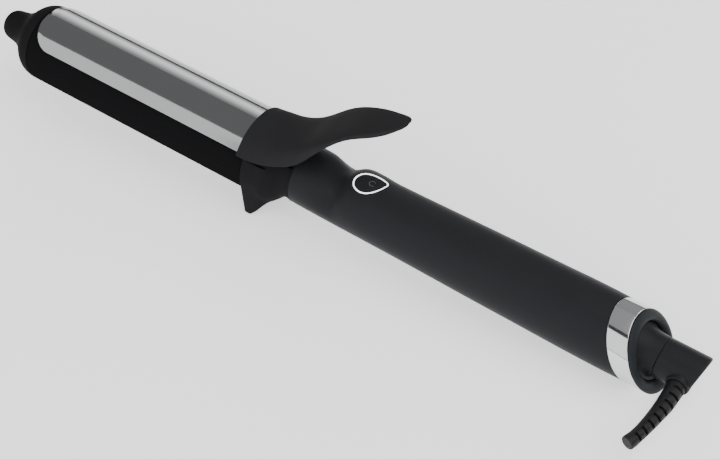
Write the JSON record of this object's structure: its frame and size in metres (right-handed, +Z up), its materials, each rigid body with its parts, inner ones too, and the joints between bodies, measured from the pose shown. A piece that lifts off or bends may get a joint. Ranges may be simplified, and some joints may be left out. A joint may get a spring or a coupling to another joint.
{
  "type": "curling tong",
  "caption": "Curling tong with a round heated barrel, sprung hair clamp and thumb lever, stand foot, round handle, lit button and turning cord outlet.",
  "frame": {"origin": "middle of the foot's flat bottom, on the table", "axes": "+X towards the handle's rear end, +Z up, the thumb lever on top; the tong lies leaned on its foot and its rear collar"},
  "size_m": [0.3188, 0.0564, 0.0733],
  "materials": {
    "coated_barrel": "gloss",
    "tip_plastic": "matte",
    "mica": "matte",
    "aluminium": "satin",
    "ceramic": "matte",
    "steel": "satin",
    "heatproof_plastic": "matte",
    "brass": "satin",
    "sensor_glass": "gloss",
    "lead_sleeve": "matte",
    "base_plastic": "matte",
    "lever_plastic": "matte",
    "clamp_metal": "polished",
    "handle_plastic": "soft touch",
    "light_pipe": "gloss",
    "button_plastic": "satin",
    "chrome": "polished",
    "cap_plastic": "satin",
    "swivel_plastic": "satin",
    "relief_rubber": "matte",
    "tray_plastic": "matte",
    "board": "satin",
    "component_plastic": "matte",
    "lamp": "gloss",
    "can_sleeve": "gloss",
    "block_plastic": "matte"
  },
  "bodies": {
    "handle_body": {"barrel_tube": "coated_barrel", "cool_tip": "tip_plastic", "tip_insulator": "mica", "heat_spreader_upper": "aluminium", "heat_spreader_lower": "aluminium", "heater_plate": "ceramic", "pressure_strip": "steel", "barrel_mount": "heatproof_plastic", "thermal_fuse": "brass", "temperature_sensor": "sensor_glass", "heater_lead_near": "lead_sleeve", "heater_lead_far": "lead_sleeve", "stand_base": "base_plastic", "hinge_pin": "steel", "hinge_spring": "steel", "handle_sleeve": "handle_plastic", "light_ring": "light_pipe", "chassis_tray": "tray_plastic", "circuit_board": "board", "tact_switch": "component_plastic", "ring_lamp_front": "lamp", "ring_lamp_rear": "lamp", "capacitor": "can_sleeve", "triac": "component_plastic", "heat_sink": "aluminium", "terminal_block": "block_plastic", "supply_lead_near": "lead_sleeve", "supply_lead_far": "lead_sleeve", "collar_ring": "chrome", "end_cap": "cap_plastic", "swivel_hub": "swivel_plastic", "contact_carrier": "heatproof_plastic", "contact_spring_1": "brass", "contact_spring_2": "brass"},
    "lever_group": {"lever": "lever_plastic", "clamp_plate": "clamp_metal", "clamp_screw_near": "steel", "clamp_screw_far": "steel"},
    "button": {"power_button": "button_plastic"},
    "cord_outlet": {"swivel_elbow": "swivel_plastic", "strain_relief": "relief_rubber", "swivel_stem": "heatproof_plastic", "slip_ring_1": "brass", "slip_ring_2": "brass"}
  },
  "joints": [
    {"name": "lever_hinge", "type": "hinge", "parent": "handle_body", "child": "lever_group", "pos_m": [0.01069, 0, 0.02867], "axis": [0, 1, 0], "range_deg": [0, 24], "stiffness_Nm_per_rad": 0.25, "springref_deg": -20.05},
    {"name": "power_button_press", "type": "slide", "parent": "handle_body", "child": "button", "axis": [-0.043, 0, -0.9991], "range_m": [0, 0.0008], "stiffness_N_per_m": 400, "springref_m": -0.0005},
    {"name": "cord_swivel", "type": "hinge", "parent": "handle_body", "child": "cord_outlet", "pos_m": [0.16926, 0, 0.01404], "axis": [0.9991, 0, -0.043], "continuous": true}
  ]
}
